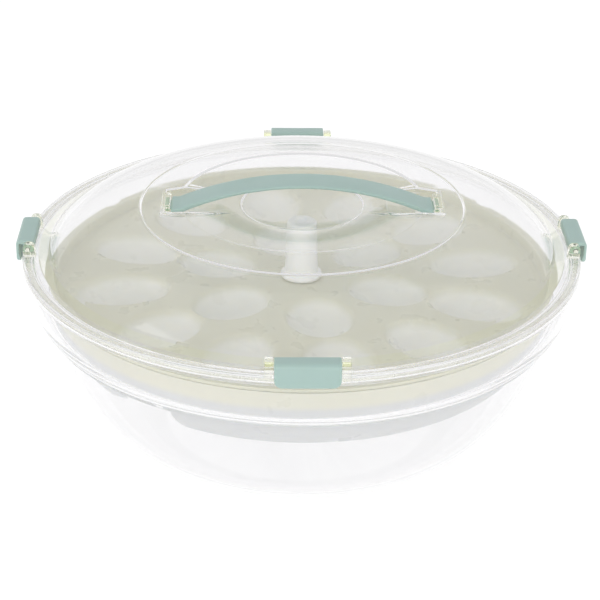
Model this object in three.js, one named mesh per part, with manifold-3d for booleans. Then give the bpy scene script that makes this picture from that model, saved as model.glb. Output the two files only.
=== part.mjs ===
// A chip and dip party server: a deep clear bowl, a three-compartment tray and an egg tray nested on
// its shelf, and a clear domed lid with a strap handle and four hinged latches.
// Millimetres, +Z up. The origin is the middle of the bowl's base, and the front is -Y.
import * as THREE from "three";
import { mergeVertices } from "three/addons/utils/BufferGeometryUtils.js";
import Module from "manifold-3d";

const wasm = await Module();
wasm.setup();

// ---- Driving dimensions ----
const RIM_RADIUS = 175; // outer edge of the bowl's lip and of the lid
const BOWL_HEIGHT = 119.7; // base to the top of the lip
const BASE_RADIUS = 88;
const BOWL_WALL = 2.4;
const LIP_OVERHANG = 1.5; // how far the lip stands out from the wall
const LIP_THICKNESS = 2.4;
const SHELF_DROP = 33.7; // top of the lip down to the shelf that carries the trays
const SHELF_INSET = 19.4; // outer edge of the lip to the shelf's inner edge
const SHELF_WIDTH = 6;
const SHELF_NECK = 4.8; // height of the upright neck between the belly and the shelf
const BELLY_LEAN = 14; // degrees that the belly still leans out under the neck
const WALL_BULGE = { inset: 1, rise: 9.6 }; // how the wall over the shelf curves out to the lip

const TRAY_WALL = 1.8;
const TRAY_SEAT = 3; // width of the tray's flange that lies on the shelf
const TRAY_INSET = 5; // shelf's inner edge to the outside of the compartments
const TRAY_SKIRT_HEIGHT = 19.2; // flange to rim, measured over the outside
const TRAY_RIM_WIDTH = 3.2;
const SKIRT_FLARE = 0.6;
const DIVIDER_GAP = 1.7; // the dividers' tops to the undersides of the egg wells
const COMPARTMENT_DEPTH = 20.7;
const COMPARTMENT_COUNT = 3;
const FIRST_DIVIDER_ANGLE = 230; // degrees from +X
const DIVIDER_WIDTH = 15.6; // clear space between two compartments, below
const COMPARTMENT_TAPER = 15; // how far its wall comes in towards the floor
const COMPARTMENT_CURVE_HEIGHT = 16;
const FLOOR_CORNER = 5; // rounding of the floor's two outer corners
const FLOOR_MIDDLE_CORNER = 9;

const EGG_DECK_DROP = 7.6; // egg tray's rim down to its deck
const EGG_WALL_SLOPE = 0.8;
const EGG_WALL_GAP = 0.9; // to the skirt of the tray it nests in
const WELL_DEPTH = 13;
const WELL_WIDTH = 40;
const OUTER_WELL = { count: 12, first: 10, length: 57 }; // first is the angle of the first well
const INNER_WELL = { count: 6, first: 40, length: 50 };
const WELL_MARGIN = 13.1; // ends of the outer wells to the wall round the deck
const WELL_SPACING = 3; // between the two rings of wells
const NOTCH_ANGLES = [37, 143]; // finger notches in the egg tray's rim
const NOTCH_RADIUS = 9;
const NOTCH_DEPTH = 3;

const POST_HEIGHT = 37;
const POST_TOP_RADIUS = 9.25;
const POST_BASE_RADIUS = 10.5;
const POST_FOOT_RADIUS = 13;
const POST_FOOT_THICKNESS = 1.8;
const POST_FOOT_SLOPE = 1.8; // height of the cone from the foot up to the post
const POST_STEM_RADIUS = 6;
const POST_STEM_END = 4.4; // length of the stem below the deck
const POST_WALL = 2.2;
const POST_EDGE = 1.1;
const POST_BARB = 0.9;

const LID_WALL = 2.3;
const LID_EDGE_WIDTH = 1.6;
const LID_LAND_WIDTH = 10; // flat ring inside the edge
const LID_PLUG_GAP = 1.1; // plug ring to the bowl's wall
const LID_PLUG_DEPTH = 9;
const LID_PLUG_WIDTH = 2;
const DOME_FOOT = { inset: 16, rise: 2 };
const DOME_BULGE = { out: 8, drop: 2 }; // how the dome's flank curves out between foot and plateau
const PLATEAU_RADIUS = 102;
const PLATEAU_RISE = 26.6; // over the lid's edge
const CROWN_RADIUS = 77;
const CROWN_STEP = 2.6; // crown over the plateau
const DISH_RADIUS = 38.6;
const DISH_SINK = 2.8; // dish below the crown
const RING_STEP = 0.8; // height of the small steps that edge the plateau and the dish

const HANDLE_LENGTH = 163.2;
const HANDLE_WIDTH = 21;
const HANDLE_THICKNESS = 2.2; // in the middle
const HANDLE_FOOT_THICKNESS = 3.6;
const HANDLE_END_STEP = 0.3; // top of the strap's ends over the plateau
const HANDLE_ARCH = 15.7; // top of the arch over the ends
const HANDLE_FOOT = 9; // flat stretch at each end
const TONGUE_LENGTH = 3.8;
const TONGUE_WIDTH = 12;
const TONGUE_THICKNESS = 1.4;
const HANDLE_LUG_GAP = 0.6; // end of the strap to the lug
const HANDLE_LUG_THICKNESS = 5.4;
const HANDLE_LUG_OVER = 2; // lug's top over the strap's end
const SEAT_LEAD = 2.6; // flat floor of the seat, past the strap's foot
const SEAT_RAMP = 26; // length of the slope from the seat's floor up to the crown
const SEAT_SPREAD = 9; // how much further out the seat's sides are at the crown than at its floor

const LATCH_NAMES = ["right", "back", "left", "front"];
const LATCH_WIDTH = 37;
const LATCH_HEIGHT = 14.7;
const LATCH_PLATE = 1.8;
const LATCH_ROOF = 2.4;
const LATCH_CORNER = 4.5;
const LATCH_AXIS_RISE = 4.9; // hinge axis over the lid's edge
const LATCH_AXIS_INSET = 5.3; // hinge axis inside the lid's edge
const LATCH_KNUCKLE = 3.5; // hinge axis to the top, the bottom and the inner side
const LATCH_CATCH = { height: 0.4, foot: 1.6, top: 1.1 }; // the ridge along the back's lower edge
const LATCH_REACH = 0.7; // lid's edge to the back of the latch plate
const PIN_RADIUS = 1.4;
const LUG_THICKNESS = 5;
const LUG_HEAD_RADIUS = 3.6;
const LUG_FRONT = 2.9; // hinge axis to the lug's outer face
const LUG_ROOT = { inward: 5, outward: 2.1 }; // reach of the lug's foot from the hinge axis

const SEAL_THICKNESS = 1.4;

const ROUNDING = { slight: 0.2, small: 0.5, soft: 0.9, wide: 2.4 }; // of latch and lug edges

const REST_GAP = 0.3; // between pieces that rest on one another
const RUN_GAP = 0.35; // between pieces that turn or slide on one another
const SINK = 0.6; // how far two shapes of one piece run into each other

// ---- Facets ----
const ROUND_STEPS = 40; // round every large turned piece, in step with one another
const POST_STEPS = 20;
const PIN_STEPS = 12;
const BELLY_STEPS = 7;
const WALL_STEPS = 4;
const DOME_STEPS = 6;
const CORNER_STEPS = 5;
const SIDE_STEPS = 12;
const BEVEL_STEPS = 2;
const BEND_STEPS = 4; // round each small rounding of a bar
const WELL_STEPS = { around: 14, down: 6 };
const NOTCH_STEPS = 16;
const STRAP_STEPS = 14;

// ---- Heights and radii that follow ----
const SHELF_Z = BOWL_HEIGHT - SHELF_DROP;
const LID_EDGE_HEIGHT = LID_WALL + REST_GAP + SEAL_THICKNESS;
const LID_Z = BOWL_HEIGHT + REST_GAP + LID_EDGE_HEIGHT; // top of the lid's edge
const WALL_TOP_RADIUS = RIM_RADIUS - LIP_OVERHANG;
const MOUTH_RADIUS = WALL_TOP_RADIUS - BOWL_WALL;
const SHELF_RADIUS = RIM_RADIUS - SHELF_INSET;
const TRAY_FLANGE_Z = SHELF_Z + REST_GAP;
const TRAY_SKIRT_RADIUS = SHELF_RADIUS + TRAY_SEAT;
const TRAY_RIM_Z = TRAY_FLANGE_Z + TRAY_SKIRT_HEIGHT;
const TRAY_BODY_RADIUS = SHELF_RADIUS - TRAY_INSET;
const COMPARTMENT_CORNER = FLOOR_CORNER + COMPARTMENT_TAPER;
const COMPARTMENT_MIDDLE_CORNER = FLOOR_MIDDLE_CORNER + COMPARTMENT_TAPER;
const EGG_RIM_RADIUS = TRAY_SKIRT_RADIUS - TRAY_WALL + TRAY_RIM_WIDTH;
const EGG_RIM_Z = TRAY_RIM_Z + REST_GAP + TRAY_WALL;
const EGG_DECK_Z = EGG_RIM_Z - EGG_DECK_DROP;
const EGG_WALL_RADIUS = TRAY_SKIRT_RADIUS - TRAY_WALL - EGG_WALL_GAP;
const EGG_DECK_RADIUS = EGG_WALL_RADIUS - EGG_WALL_SLOPE;
const OUTER_WELL_RADIUS = EGG_DECK_RADIUS - WELL_MARGIN - OUTER_WELL.length / 2;
const WELL_STEP = (OUTER_WELL.length + INNER_WELL.length) / 2 + WELL_SPACING;
const INNER_WELL_RADIUS = OUTER_WELL_RADIUS - WELL_STEP;
const DIVIDER_Z = EGG_DECK_Z - WELL_DEPTH - TRAY_WALL - DIVIDER_GAP;
const CROWN_RISE = PLATEAU_RISE + CROWN_STEP;
const DISH_RISE = CROWN_RISE - DISH_SINK;
const LATCH_ANGLES = LATCH_NAMES.map((_, index) => (360 * index) / LATCH_NAMES.length);
const LATCH_AXIS_RADIUS = RIM_RADIUS - LATCH_AXIS_INSET;
const LATCH_AXIS_Z = LID_Z + LATCH_AXIS_RISE;
const PIN_BORE = PIN_RADIUS + RUN_GAP;
const LUG_OFFSET = LATCH_WIDTH / 2 + RUN_GAP; // middle of the latch to the inner face of a lug
const PIN_LENGTH = 2 * (LUG_OFFSET + LUG_THICKNESS) - 2 * REST_GAP;
const HANDLE_HALF = HANDLE_LENGTH / 2;
const HANDLE_END_RISE = PLATEAU_RISE + HANDLE_END_STEP;
const HANDLE_FLOOR_Z = LID_Z + HANDLE_END_RISE - HANDLE_FOOT_THICKNESS - REST_GAP;
const HANDLE_LUG_X = HANDLE_HALF + HANDLE_LUG_GAP;

// ---- Shapes ----
const point = (x, y) => new THREE.Vector2(x, y);
const radians = THREE.MathUtils.degToRad;

// A closed mesh as a solid: its shared corners are merged, so that only positions are left.
function solidOf(geometry) {
  const bare = geometry.clone();
  bare.deleteAttribute("normal");
  bare.deleteAttribute("uv");
  const merged = mergeVertices(bare, 1e-4);
  const vertProperties = merged.getAttribute("position").array;
  const triVerts = new Uint32Array(merged.index.array);
  return new wasm.Manifold(new wasm.Mesh({ numProp: 3, vertProperties, triVerts }));
}

function geometryOf(solid) {
  const { vertProperties, triVerts } = solid.getMesh();
  const geometry = new THREE.BufferGeometry();
  geometry.setAttribute("position", new THREE.BufferAttribute(vertProperties, 3));
  geometry.setIndex(new THREE.BufferAttribute(triVerts, 1));
  geometry.computeVertexNormals();
  return geometry;
}

// Turns a profile of (radius, height) points round Z.
function turned(profile, steps = ROUND_STEPS) {
  return solidOf(new THREE.LatheGeometry(profile, steps).rotateX(Math.PI / 2));
}

// An arc of an ellipse, from one angle to another in degrees, counted from +X.
function ellipseArc(centre, across, up, from, to, steps) {
  return Array.from({ length: steps + 1 }, (_, i) => {
    const angle = radians(from + ((to - from) * i) / steps);
    return point(centre.x + across * Math.cos(angle), centre.y + up * Math.sin(angle));
  });
}

function bezier(start, control, end, steps) {
  return new THREE.QuadraticBezierCurve(start, control, end).getPoints(steps);
}

// A closed outline from corners [x, y, rounding].
function roundedShape(corners) {
  const shape = new THREE.Shape();
  corners.forEach(([x, y, rounding], index) => {
    const corner = point(x, y);
    const before = corners.at(index - 1);
    const after = corners[(index + 1) % corners.length];
    const start = point(before[0], before[1]).sub(corner).setLength(rounding).add(corner);
    const end = point(after[0], after[1]).sub(corner).setLength(rounding).add(corner);
    if (index === 0) shape.moveTo(start.x, start.y);
    else shape.lineTo(start.x, start.y);
    if (rounding > 0) shape.quadraticCurveTo(x, y, end.x, end.y);
  });
  return shape;
}

// Extrudes an outline of (across, height) points to a width along Y, centred on Y = 0.
function barAlongY(shape, width) {
  const geometry = new THREE.ExtrudeGeometry(shape, {
    depth: width,
    bevelEnabled: false,
    curveSegments: BEND_STEPS,
  });
  return solidOf(geometry.rotateX(Math.PI / 2).translate(0, width / 2, 0));
}

// Extrudes an outline of (along Y, height) points along X, from one place to another.
function barAlongX(shape, from, to) {
  const geometry = new THREE.ExtrudeGeometry(shape, {
    depth: to - from,
    bevelEnabled: false,
    curveSegments: BEND_STEPS,
  });
  return solidOf(geometry.rotateX(Math.PI / 2).rotateZ(Math.PI / 2).translate(from, 0, 0));
}

function block(fromX, toX, width, fromZ, toZ) {
  const geometry = new THREE.BoxGeometry(toX - fromX, width, toZ - fromZ);
  return solidOf(geometry.translate((fromX + toX) / 2, 0, (fromZ + toZ) / 2));
}

// A block whose top is wider and longer than its bottom, centred on Y = 0.
function taperedBlock(bottom, top) {
  const corners = [bottom, top].flatMap(({ from, to, half, z }) =>
    [from, to].flatMap((x) => [-half, half].map((y) => [x, y, z])),
  );
  return wasm.Manifold.hull(corners);
}

// ---- Bowl ----
// The outline of the bowl's inside or outside, from the base to the lip: a belly, the shelf that
// carries the trays, and a flared wall.
function bowlSide(inset) {
  const belly = SHELF_RADIUS + BOWL_WALL - inset;
  const bellyTop = SHELF_Z - SHELF_NECK;
  const lean = radians(BELLY_LEAN);
  const middle = point(BASE_RADIUS, bellyTop / (1 - Math.sin(lean)));
  const shelf = SHELF_Z - BOWL_WALL + inset;
  const wallFoot = SHELF_RADIUS + SHELF_WIDTH + BOWL_WALL - inset;
  const wallTop = WALL_TOP_RADIUS - inset;
  const flare = bezier(
    point(wallFoot, shelf + BOWL_WALL),
    point(wallTop - WALL_BULGE.inset, shelf + WALL_BULGE.rise),
    point(wallTop, BOWL_HEIGHT - LIP_THICKNESS),
    WALL_STEPS,
  );
  const across = (belly - BASE_RADIUS) / Math.cos(lean);
  return [
    ...ellipseArc(middle, across, middle.y - inset, -90, -BELLY_LEAN, BELLY_STEPS),
    point(belly, shelf - BOWL_WALL / 2),
    point(belly + BOWL_WALL / 2, shelf),
    point(wallFoot - BOWL_WALL / 2, shelf),
    ...flare,
  ];
}

function bowlSolid() {
  const lipUnder = BOWL_HEIGHT - LIP_THICKNESS;
  return turned([
    point(0, 0),
    ...bowlSide(0),
    point(RIM_RADIUS, lipUnder),
    point(RIM_RADIUS, BOWL_HEIGHT),
    point(MOUTH_RADIUS, BOWL_HEIGHT),
    ...bowlSide(BOWL_WALL).reverse(),
    point(0, BOWL_WALL),
  ]);
}

// ---- Three-compartment tray ----
// A third of a disc with round corners, made smaller all round by an inset.
function compartmentShape(middleAngle, inset) {
  const side = DIVIDER_WIDTH / 2 + inset;
  const outer = TRAY_BODY_RADIUS - SINK - inset;
  const corner = COMPARTMENT_CORNER - inset;
  const middleCorner = COMPARTMENT_MIDDLE_CORNER - inset;
  const half = 180 / COMPARTMENT_COUNT;
  const cornerAngle = THREE.MathUtils.radToDeg(Math.asin((side + corner) / (outer - corner)));
  const reach = (side + middleCorner) / Math.sin(radians(half));
  const sweep = half - cornerAngle;
  const cornerAt = (angle) =>
    point((outer - corner) * Math.cos(radians(angle)), (outer - corner) * Math.sin(radians(angle)));
  const origin = point(0, 0);
  const outline = [
    ...ellipseArc(cornerAt(-sweep), corner, corner, -half - 90, -sweep, CORNER_STEPS),
    ...ellipseArc(origin, outer, outer, -sweep, sweep, SIDE_STEPS).slice(1, -1),
    ...ellipseArc(cornerAt(sweep), corner, corner, sweep, half + 90, CORNER_STEPS),
    ...ellipseArc(point(reach, 0), middleCorner, middleCorner, half + 90, 270 - half, CORNER_STEPS),
  ];
  return new THREE.Shape(outline.map((p) => p.rotateAround(origin, radians(middleAngle))));
}

function compartmentSolid(middleAngle, inset) {
  const floor = DIVIDER_Z - COMPARTMENT_DEPTH - TRAY_WALL + inset;
  const curve = COMPARTMENT_CURVE_HEIGHT - inset;
  const geometry = new THREE.ExtrudeGeometry(compartmentShape(middleAngle, inset), {
    depth: COMPARTMENT_DEPTH,
    bevelThickness: curve,
    bevelSize: COMPARTMENT_TAPER,
    bevelOffset: -COMPARTMENT_TAPER,
    bevelSegments: BEVEL_STEPS,
  });
  return solidOf(geometry.translate(0, 0, floor + curve));
}

function dividedTraySolid() {
  const inner = TRAY_BODY_RADIUS - TRAY_WALL;
  const skirtInner = TRAY_SKIRT_RADIUS - TRAY_WALL;
  const angles = Array.from(
    { length: COMPARTMENT_COUNT },
    (_, i) => FIRST_DIVIDER_ANGLE + (360 * (i + 0.5)) / COMPARTMENT_COUNT,
  );
  let tray = turned([
    point(0, DIVIDER_Z - TRAY_WALL),
    point(TRAY_BODY_RADIUS, DIVIDER_Z - TRAY_WALL),
    point(TRAY_BODY_RADIUS, TRAY_FLANGE_Z),
    point(TRAY_SKIRT_RADIUS, TRAY_FLANGE_Z),
    point(TRAY_SKIRT_RADIUS + SKIRT_FLARE, TRAY_RIM_Z - TRAY_WALL),
    point(EGG_RIM_RADIUS, TRAY_RIM_Z - TRAY_WALL),
    point(EGG_RIM_RADIUS, TRAY_RIM_Z),
    point(skirtInner + SKIRT_FLARE, TRAY_RIM_Z),
    point(skirtInner, TRAY_FLANGE_Z + TRAY_WALL),
    point(inner, TRAY_FLANGE_Z + TRAY_WALL),
    point(inner, DIVIDER_Z),
    point(0, DIVIDER_Z),
  ]);
  const below = turned([
    point(0, 0),
    point(RIM_RADIUS, 0),
    point(RIM_RADIUS, DIVIDER_Z - TRAY_WALL / 2),
    point(0, DIVIDER_Z - TRAY_WALL / 2),
  ]);
  for (const angle of angles) tray = tray.add(compartmentSolid(angle, 0).intersect(below));
  for (const angle of angles) tray = tray.subtract(compartmentSolid(angle, TRAY_WALL));
  return tray;
}

// ---- Egg tray ----
// Each well's length, distance from the axis and angle.
function wells() {
  const rings = [
    { ...OUTER_WELL, radius: OUTER_WELL_RADIUS },
    { ...INNER_WELL, radius: INNER_WELL_RADIUS },
  ];
  return rings.flatMap(({ count, first, length, radius }) =>
    Array.from({ length: count }, (_, i) => ({ length, radius, angle: first + (360 * i) / count })),
  );
}

function wellSolid({ length, radius, angle }, extra) {
  const geometry = new THREE.SphereGeometry(1, WELL_STEPS.around, WELL_STEPS.down);
  geometry.rotateX(Math.PI / 2);
  geometry.scale(length / 2 + extra, WELL_WIDTH / 2 + extra, WELL_DEPTH + extra);
  geometry.translate(radius, 0, EGG_DECK_Z).rotateZ(radians(angle));
  return solidOf(geometry);
}

function eggTraySolid() {
  const under = EGG_DECK_Z - TRAY_WALL;
  const stemHole = POST_STEM_RADIUS + REST_GAP;
  let tray = turned([
    point(stemHole, under),
    point(EGG_DECK_RADIUS, under),
    point(EGG_WALL_RADIUS, EGG_RIM_Z - TRAY_WALL),
    point(EGG_RIM_RADIUS, EGG_RIM_Z - TRAY_WALL),
    point(EGG_RIM_RADIUS, EGG_RIM_Z),
    point(EGG_WALL_RADIUS - TRAY_WALL, EGG_RIM_Z),
    point(EGG_DECK_RADIUS - TRAY_WALL, EGG_DECK_Z),
    point(stemHole, EGG_DECK_Z),
    point(stemHole, under),
  ]);
  const below = turned([
    point(0, 0),
    point(RIM_RADIUS, 0),
    point(RIM_RADIUS, EGG_DECK_Z - TRAY_WALL / 2),
    point(0, EGG_DECK_Z - TRAY_WALL / 2),
  ]);
  for (const well of wells()) tray = tray.add(wellSolid(well, TRAY_WALL).intersect(below));
  for (const well of wells()) tray = tray.subtract(wellSolid(well, 0));
  for (const angle of NOTCH_ANGLES) tray = tray.subtract(notchSolid(angle));
  return tray;
}

function notchSolid(angle) {
  const height = 2 * EGG_DECK_DROP;
  const tool = new THREE.CylinderGeometry(NOTCH_RADIUS, NOTCH_RADIUS, height, NOTCH_STEPS);
  tool.rotateX(Math.PI / 2);
  tool.translate(EGG_RIM_RADIUS + NOTCH_RADIUS - NOTCH_DEPTH, 0, EGG_RIM_Z);
  return solidOf(tool.rotateZ(radians(angle)));
}

// The post stands on the deck, and its stem goes down through the deck's hole and clips under it.
function liftPostSolid() {
  const foot = EGG_DECK_Z + REST_GAP;
  const top = EGG_DECK_Z + POST_HEIGHT;
  const barbTop = EGG_DECK_Z - TRAY_WALL - REST_GAP;
  const stemEnd = EGG_DECK_Z - TRAY_WALL - POST_STEM_END;
  const slopeTop = foot + POST_FOOT_THICKNESS + POST_FOOT_SLOPE;
  const bore = POST_STEM_RADIUS - POST_WALL;
  return turned([
    point(bore, stemEnd),
    point(POST_STEM_RADIUS - POST_BARB, stemEnd),
    point(POST_STEM_RADIUS + POST_BARB, barbTop),
    point(POST_STEM_RADIUS, barbTop),
    point(POST_STEM_RADIUS, foot),
    point(POST_FOOT_RADIUS, foot),
    point(POST_FOOT_RADIUS, foot + POST_FOOT_THICKNESS),
    point(POST_BASE_RADIUS, slopeTop),
    point(POST_TOP_RADIUS, top - POST_EDGE),
    point(POST_TOP_RADIUS - POST_EDGE, top),
    point(0, top),
    point(0, top - POST_WALL),
    point(POST_TOP_RADIUS - POST_WALL, top - POST_WALL),
    point(POST_BASE_RADIUS - POST_WALL, slopeTop),
    point(bore, foot + POST_FOOT_THICKNESS),
    point(bore, stemEnd),
  ], POST_STEPS);
}

// ---- Lid ----
// The upper or lower face of the dome, from its foot up to the axis.
function domeSide(inset) {
  const foot = point(RIM_RADIUS - DOME_FOOT.inset - inset, LID_Z + DOME_FOOT.rise - inset);
  const plateau = point(PLATEAU_RADIUS - inset / 2, LID_Z + PLATEAU_RISE - RING_STEP - inset);
  const between = (foot.x + plateau.x) / 2;
  const control = point(between + DOME_BULGE.out, plateau.y - DOME_BULGE.drop);
  return [
    ...bezier(foot, control, plateau, DOME_STEPS),
    point(PLATEAU_RADIUS - RING_STEP - inset / 2, LID_Z + PLATEAU_RISE - inset),
    point(CROWN_RADIUS - inset / 2, LID_Z + CROWN_RISE - inset),
    point(DISH_RADIUS, LID_Z + DISH_RISE - inset),
    point(DISH_RADIUS - RING_STEP, LID_Z + DISH_RISE - RING_STEP - inset),
    point(0, LID_Z + DISH_RISE - RING_STEP - inset),
  ];
}

function lidShellSolid() {
  const edgeInner = RIM_RADIUS - LID_EDGE_WIDTH;
  const plug = MOUTH_RADIUS - LID_PLUG_GAP;
  const under = LID_Z - LID_WALL;
  return turned([
    ...domeSide(LID_WALL).reverse(),
    point(RIM_RADIUS - LID_LAND_WIDTH - LID_WALL / 2, under),
    point(plug - LID_PLUG_WIDTH, under),
    point(plug - LID_PLUG_WIDTH, LID_Z - LID_PLUG_DEPTH),
    point(plug, LID_Z - LID_PLUG_DEPTH),
    point(plug, under),
    point(edgeInner, under),
    point(edgeInner, LID_Z - LID_EDGE_HEIGHT),
    point(RIM_RADIUS, LID_Z - LID_EDGE_HEIGHT),
    point(RIM_RADIUS, LID_Z - LID_EDGE_WIDTH / 2),
    point(RIM_RADIUS - LID_EDGE_WIDTH / 2, LID_Z),
    point(RIM_RADIUS - LID_LAND_WIDTH, LID_Z),
    ...domeSide(0),
  ]);
}

// One lug of a latch hinge, for the latch at +X: a round head over a foot sunk in the lid's land.
function latchLugSolid(side) {
  const sunk = -LATCH_AXIS_RISE - SINK;
  const shape = roundedShape([
    [-LUG_ROOT.inward, sunk, 0],
    [LUG_ROOT.outward, sunk, 0],
    [LUG_FRONT, -LUG_HEAD_RADIUS, ROUNDING.soft],
    [LUG_FRONT, LUG_HEAD_RADIUS, ROUNDING.wide],
    [-LUG_HEAD_RADIUS, LUG_HEAD_RADIUS, ROUNDING.wide],
  ]);
  const lug = barAlongY(shape, LUG_THICKNESS);
  const along = side * (LUG_OFFSET + LUG_THICKNESS / 2);
  return lug.translate([LATCH_AXIS_RADIUS, along, LATCH_AXIS_Z]);
}

function rodAlongY(radius, length) {
  return solidOf(new THREE.CylinderGeometry(radius, radius, length, PIN_STEPS));
}

function latchLugsSolid() {
  const bore = rodAlongY(PIN_BORE, PIN_LENGTH + 2 * LUG_THICKNESS);
  return latchLugSolid(1)
    .add(latchLugSolid(-1))
    .subtract(bore.translate([LATCH_AXIS_RADIUS, 0, LATCH_AXIS_Z]));
}

// The space under one end of the strap, for the end at +X: a trough with sloped sides and a ramp up to
// the crown. A wall makes it the outside of the trough.
function seatTrough(wall) {
  const inner = HANDLE_HALF - HANDLE_FOOT - SEAT_LEAD;
  const outer = HANDLE_LUG_X + HANDLE_LUG_THICKNESS + SINK - LID_WALL + wall;
  const half = HANDLE_WIDTH / 2 + RUN_GAP;
  return taperedBlock(
    { from: inner - wall, to: outer, half: half + wall / 2, z: HANDLE_FLOOR_Z - wall },
    {
      from: inner - SEAT_RAMP - 2 * wall,
      to: outer,
      half: half + SEAT_SPREAD + 2 * wall,
      z: LID_Z + CROWN_RISE,
    },
  );
}

// Everything under the dome's upper face, which keeps what is added to it from standing out.
function underDomeSolid() {
  return turned([point(0, LID_Z), point(RIM_RADIUS - DOME_FOOT.inset, LID_Z), ...domeSide(0)]);
}

function handleLugSolid() {
  return block(
    HANDLE_LUG_X,
    HANDLE_LUG_X + HANDLE_LUG_THICKNESS,
    HANDLE_WIDTH + 2 * RUN_GAP + SINK,
    HANDLE_FLOOR_Z - SINK,
    LID_Z + HANDLE_END_RISE + HANDLE_LUG_OVER,
  );
}

// The slot in the lug that takes the strap's tongue.
function tongueSlot() {
  const middle = HANDLE_FLOOR_Z + REST_GAP + HANDLE_FOOT_THICKNESS / 2;
  const half = TONGUE_THICKNESS / 2 + REST_GAP;
  return block(
    HANDLE_LUG_X - SINK,
    HANDLE_HALF + TONGUE_LENGTH + REST_GAP,
    TONGUE_WIDTH + 2 * REST_GAP,
    middle - half,
    middle + half,
  );
}

function lidSolid() {
  const trough = seatTrough(LID_WALL).intersect(underDomeSolid());
  let lid = lidShellSolid();
  for (const turn of [0, 180]) {
    const turnedRound = (solid) => solid.rotate([0, 0, turn]);
    lid = lid.add(turnedRound(trough)).subtract(turnedRound(seatTrough(0)));
    lid = lid.add(turnedRound(handleLugSolid())).subtract(turnedRound(tongueSlot()));
  }
  for (const angle of LATCH_ANGLES) lid = lid.add(latchLugsSolid().rotate([0, 0, angle]));
  return lid;
}

function lidSealSolid() {
  const inner = MOUTH_RADIUS - LID_PLUG_GAP + REST_GAP;
  const outer = RIM_RADIUS - LID_EDGE_WIDTH - REST_GAP;
  const top = LID_Z - LID_WALL - REST_GAP;
  return turned([
    point(inner, top - SEAL_THICKNESS),
    point(outer, top - SEAL_THICKNESS),
    point(outer, top),
    point(inner, top),
    point(inner, top - SEAL_THICKNESS),
  ]);
}

// ---- Handle ----
// One side of the strap along its length: a flat foot at each end, and an arch of a circle that
// stands on the middles of the two feet.
function strapSide(end, arch) {
  const half = HANDLE_HALF - HANDLE_FOOT / 2;
  const radius = (half * half + arch * arch) / (2 * arch);
  const last = HANDLE_HALF - HANDLE_FOOT;
  const curve = Array.from({ length: STRAP_STEPS + 1 }, (_, i) => {
    const x = -last + (2 * last * i) / STRAP_STEPS;
    return point(x, end + arch - radius + Math.sqrt(radius * radius - x * x));
  });
  return [point(-HANDLE_HALF, end), ...curve, point(HANDLE_HALF, end)];
}

function handleStrapSolid() {
  const top = LID_Z + HANDLE_END_RISE;
  const bottom = top - HANDLE_FOOT_THICKNESS;
  const bottomArch = HANDLE_ARCH + HANDLE_FOOT_THICKNESS - HANDLE_THICKNESS;
  const outline = [...strapSide(top, HANDLE_ARCH), ...strapSide(bottom, bottomArch).reverse()];
  const strap = barAlongY(new THREE.Shape(outline), HANDLE_WIDTH);
  const middle = (top + bottom) / 2;
  const reach = HANDLE_HALF + TONGUE_LENGTH;
  const tongues = block(
    HANDLE_HALF - HANDLE_FOOT / 2,
    reach,
    TONGUE_WIDTH,
    middle - TONGUE_THICKNESS / 2,
    middle + TONGUE_THICKNESS / 2,
  );
  return strap.add(tongues).add(tongues.rotate([0, 0, 180]));
}

// ---- Latch ----
// A latch is modelled with its hinge axis along Y at the origin, and hangs down outside the edge.
function latchSolid() {
  const back = LATCH_AXIS_INSET + LATCH_REACH;
  const front = back + LATCH_PLATE;
  const top = LATCH_KNUCKLE;
  const bottom = top - LATCH_HEIGHT;
  const section = roundedShape([
    [back - LATCH_CATCH.height, bottom, ROUNDING.slight],
    [front, bottom, ROUNDING.soft],
    [front, top, ROUNDING.wide],
    [-LATCH_KNUCKLE, top, ROUNDING.wide],
    [-LATCH_KNUCKLE, -LATCH_KNUCKLE, ROUNDING.wide],
    [LATCH_KNUCKLE, -LATCH_KNUCKLE, ROUNDING.wide],
    [LATCH_KNUCKLE, top - LATCH_ROOF, ROUNDING.small],
    [back, top - LATCH_ROOF, ROUNDING.small],
    [back, bottom + LATCH_CATCH.foot, ROUNDING.slight],
    [back - LATCH_CATCH.height, bottom + LATCH_CATCH.top, ROUNDING.slight],
  ]);
  const half = LATCH_WIDTH / 2;
  const face = roundedShape([
    [-half, bottom, LATCH_CORNER],
    [half, bottom, LATCH_CORNER],
    [half, top, ROUNDING.small],
    [-half, top, ROUNDING.small],
  ]);
  const bore = rodAlongY(PIN_BORE, 2 * LATCH_WIDTH);
  return barAlongY(section, LATCH_WIDTH)
    .intersect(barAlongX(face, -LATCH_WIDTH, LATCH_WIDTH))
    .subtract(bore);
}

// ---- Materials ----
function plastic(color, roughness, opacity = 1) {
  const transparent = opacity < 1;
  return new THREE.MeshStandardMaterial({ color, roughness, metalness: 0, opacity, transparent });
}

const clear = () => plastic(0xf2f4f2, 0.08, 0.35);
const tinted = () => plastic(0xdfe6b4, 0.15, 0.6);
const cream = () => plastic(0xe4e2cf, 0.35);
const white = () => plastic(0xf1f2ec, 0.35);
const teal = () => plastic(0xa7cdc8, 0.4);

// ---- Assembly ----
function piece(name, solid, material) {
  const mesh = new THREE.Mesh(geometryOf(solid), material);
  mesh.name = name;
  return mesh;
}

const server = new THREE.Group();
server.add(
  piece("bowl", bowlSolid(), clear()),
  piece("divided_tray", dividedTraySolid(), white()),
  piece("egg_tray", eggTraySolid(), cream()),
  piece("lift_post", liftPostSolid(), white()),
  piece("lid", lidSolid(), clear()),
  piece("lid_seal", lidSealSolid(), tinted()),
  piece("handle_strap", handleStrapSolid(), teal()),
);

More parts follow.
